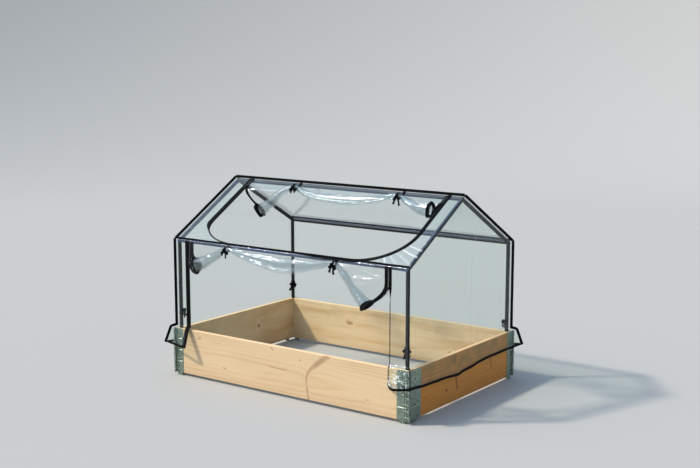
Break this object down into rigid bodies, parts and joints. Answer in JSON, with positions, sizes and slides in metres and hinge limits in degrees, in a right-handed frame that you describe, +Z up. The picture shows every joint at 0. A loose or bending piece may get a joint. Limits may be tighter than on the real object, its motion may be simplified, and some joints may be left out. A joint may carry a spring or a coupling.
{
  "type": "mini greenhouse on a raised bed",
  "caption": "Low raised bed of hinged boards under a clear film house on a tube frame, with its zipped front and roof flaps rolled up.",
  "frame": {"origin": "on the ground at the centre of the bed, level with the feet of the hinge tabs", "axes": "X along the ridge, Y across it with the zipped front towards -Y, Z up"},
  "size_m": [1.2756, 0.8756, 0.8353],
  "materials": {
    "pine_board": "planed untreated pine, weathered at the ends",
    "galvanised_steel": "hot-dip galvanised pressed sheet",
    "coated_tube": "black powder coat on steel tube",
    "black_plastic": "moulded polypropylene",
    "clear_film": "soft clear vinyl film with creases",
    "woven_tape": "black woven binding tape, stitched",
    "zip_tape": "black knitted zip tape with moulded coil"
  },
  "bodies": {
    "root": {"back_roof_film": "clear_film", "back_wall_film": "clear_film", "board_back": "pine_board", "board_front": "pine_board", "board_left": "pine_board", "board_right": "pine_board", "eave_bar_back": "coated_tube", "eave_bar_front": "coated_tube", "eave_connector_back_left": "black_plastic", "eave_connector_back_right": "black_plastic", "eave_connector_front_left": "black_plastic", "eave_connector_front_right": "black_plastic", "front_flap_roll": "clear_film", "front_left_film": "clear_film", "front_right_film": "clear_film", "front_roof_film": "clear_film", "front_zips": "zip_tape", "hem_tapes": "woven_tape", "hinge_leaf_back_left_long": "galvanised_steel", "hinge_leaf_back_left_short": "galvanised_steel", "hinge_leaf_back_right_long": "galvanised_steel", "hinge_leaf_back_right_short": "galvanised_steel", "hinge_leaf_front_left_long": "galvanised_steel", "hinge_leaf_front_left_short": "galvanised_steel", "hinge_leaf_front_right_long": "galvanised_steel", "hinge_leaf_front_right_short": "galvanised_steel", "hinge_pins": "galvanised_steel", "left_gable_film": "clear_film", "post_back_left": "coated_tube", "post_back_right": "coated_tube", "post_feet": "black_plastic", "post_front_left": "coated_tube", "post_front_right": "coated_tube", "rafter_back_left": "coated_tube", "rafter_back_right": "coated_tube", "rafter_front_left": "coated_tube", "rafter_front_right": "coated_tube", "ridge_bar": "coated_tube", "ridge_connector_left": "black_plastic", "ridge_connector_right": "black_plastic", "right_gable_film": "clear_film", "roof_flap_roll": "clear_film", "roof_zip": "zip_tape", "seam_tapes": "woven_tape", "tie_tapes": "woven_tape"}
  },
  "joints": []
}
